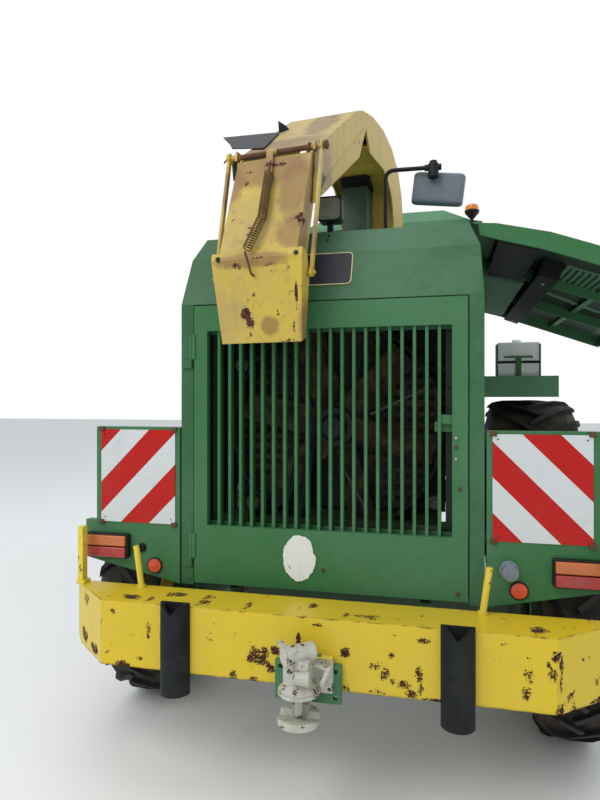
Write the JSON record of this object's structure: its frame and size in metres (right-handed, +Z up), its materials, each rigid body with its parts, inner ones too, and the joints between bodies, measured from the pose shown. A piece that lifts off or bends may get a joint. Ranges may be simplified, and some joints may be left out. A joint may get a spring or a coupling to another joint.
{
  "type": "forage harvester",
  "caption": "Self-propelled forage harvester seen from behind, with folded spout, barred rear door, raised side cover, counterweight bumper and automatic coupling.",
  "frame": {"origin": "centre of the bounding box's base, on the ground", "axes": "+X to the machine's right, +Y forward, +Z up; the hitch and the rear door look along -Y"},
  "size_m": [3.2304, 5.175, 3.278],
  "materials": {
    "green_paint": "worn gloss green",
    "frame_paint": "dusty dark green",
    "yellow_paint": "chipped and rusting yellow",
    "spout_paint": "weathered yellow with rust stains",
    "tyre": "worn",
    "rubber": "matt",
    "steel": "worn",
    "cast": "chipped white paint",
    "white_sheet": "weathered white",
    "glass": "clear",
    "lamp": "clear lens",
    "black_part": "matt",
    "core": "dusty",
    "plastic_tank": "milky"
  },
  "bodies": {
    "frame": {"chassis": "frame_paint", "engine": "frame_paint", "radiator": "core", "hood": "green_paint", "rear_panels": "green_paint", "warning_boards": "white_sheet", "lamps": "lamp", "bumper": "yellow_paint", "bumper_guards": "yellow_paint", "buffers": "rubber", "hitch_plate": "green_paint", "hitch_coupling": "cast", "rear_axle": "frame_paint", "front_axle": "frame_paint", "crop_housing": "green_paint", "cab_shell": "green_paint", "cab_roof": "green_paint", "cab_glass": "glass", "cab_interior": "black_part", "platforms": "green_paint", "white_tank": "plastic_tank", "mirrors": "black_part", "rear_door": "green_paint"},
    "fan_rotor": {"fan": "black_part"},
    "left_cover": {"cover_left": "green_paint"},
    "right_cover": {"cover_right": "green_paint"},
    "left_knuckle": {"knuckle_left": "frame_paint"},
    "right_knuckle": {"knuckle_right": "frame_paint"},
    "left_steer_wheel": {"steer_rim_left": "spout_paint", "steer_tyre_left": "tyre"},
    "right_steer_wheel": {"steer_rim_right": "spout_paint", "steer_tyre_right": "tyre"},
    "left_drive_wheel": {"drive_rim_left": "spout_paint", "drive_tyre_left": "tyre"},
    "right_drive_wheel": {"drive_rim_right": "spout_paint", "drive_tyre_right": "tyre"},
    "upper_roll": {"feed_roll_upper": "steel"},
    "lower_roll": {"feed_roll_lower": "steel"},
    "turret_base": {"turret": "green_paint"},
    "spout_arm": {"spout": "spout_paint"},
    "upper_flap": {"flap_upper": "spout_paint"},
    "lower_flap": {"flap_lower": "spout_paint"},
    "link_bars": {"flap_links": "spout_paint"},
    "cab_door_leaf": {"cab_door": "green_paint", "door_glass": "glass"}
  },
  "joints": [
    {"name": "fan_spin", "type": "hinge", "parent": "frame", "child": "fan_rotor", "pos_m": [0, -1.81, 1.475], "axis": [0, 1, 0], "continuous": true},
    {"name": "right_steer", "type": "hinge", "parent": "frame", "child": "right_knuckle", "pos_m": [0.86, -1.43, 0.552], "axis": [0, 0, 1], "range_deg": [-35, 35]},
    {"name": "left_steer", "type": "hinge", "parent": "frame", "child": "left_knuckle", "pos_m": [-0.86, -1.43, 0.552], "axis": [0, 0, 1], "range_deg": [-35, 35]},
    {"name": "right_steer_wheel_spin", "type": "hinge", "parent": "right_knuckle", "child": "right_steer_wheel", "pos_m": [1.05, -1.43, 0.552], "axis": [1, 0, 0], "continuous": true},
    {"name": "left_steer_wheel_spin", "type": "hinge", "parent": "left_knuckle", "child": "left_steer_wheel", "pos_m": [-1.05, -1.43, 0.552], "axis": [1, 0, 0], "continuous": true},
    {"name": "right_drive_wheel_spin", "type": "hinge", "parent": "frame", "child": "right_drive_wheel", "pos_m": [1.19, 0.84, 0.8], "axis": [1, 0, 0], "continuous": true},
    {"name": "left_drive_wheel_spin", "type": "hinge", "parent": "frame", "child": "left_drive_wheel", "pos_m": [-1.19, 0.84, 0.8], "axis": [1, 0, 0], "continuous": true},
    {"name": "upper_roll_spin", "type": "hinge", "parent": "frame", "child": "upper_roll", "pos_m": [0, 2.25, 0.8], "axis": [1, 0, 0], "continuous": true},
    {"name": "lower_roll_spin", "type": "hinge", "parent": "frame", "child": "lower_roll", "pos_m": [0, 2.29, 0.56], "axis": [1, 0, 0], "continuous": true},
    {"name": "turret_turn", "type": "hinge", "parent": "frame", "child": "turret_base", "pos_m": [0, -0.34, 2.418], "axis": [0, 0, -1], "range_deg": [-25, 95]},
    {"name": "spout_lift", "type": "hinge", "parent": "turret_base", "child": "spout_arm", "pos_m": [0.01658, -0.20098, 2.69], "axis": [-0.993, 0.1184, 0], "range_deg": [0, 28]},
    {"name": "flap_swing", "type": "hinge", "parent": "spout_arm", "child": "upper_flap", "pos_m": [-0.21017, -2.10251, 2.644], "axis": [-0.993, 0.1184, 0], "range_deg": [0, 40]},
    {"name": "flap_fold", "type": "hinge", "parent": "upper_flap", "child": "lower_flap", "pos_m": [-0.23349, -2.29813, 2.178], "axis": [-0.993, 0.1184, 0], "range_deg": [0, 15]},
    {"name": "link_swing", "type": "hinge", "parent": "spout_arm", "child": "link_bars", "pos_m": [-0.21088, -2.10847, 2.668], "axis": [-0.993, 0.1184, 0], "range_deg": [0, 45]},
    {"name": "right_cover_swing", "type": "hinge", "parent": "frame", "child": "right_cover", "pos_m": [0.592, -0.86, 2.368], "axis": [0, 1, 0], "range_deg": [0, 70]},
    {"name": "left_cover_swing", "type": "hinge", "parent": "frame", "child": "left_cover", "pos_m": [-0.592, -0.86, 2.368], "axis": [0, 1, 0], "range_deg": [0, 70]},
    {"name": "cab_door_swing", "type": "hinge", "parent": "frame", "child": "cab_door_leaf", "pos_m": [-0.772, 1.208, 2.35], "axis": [0, 0, 1], "range_deg": [0, 80]}
  ],
  "couplings": [
    {"joint": "left_steer", "follows": "right_steer", "ratio": 1},
    {"joint": "flap_fold", "follows": "flap_swing", "ratio": 0.275},
    {"joint": "link_swing", "follows": "flap_swing", "ratio": 0.999}
  ]
}
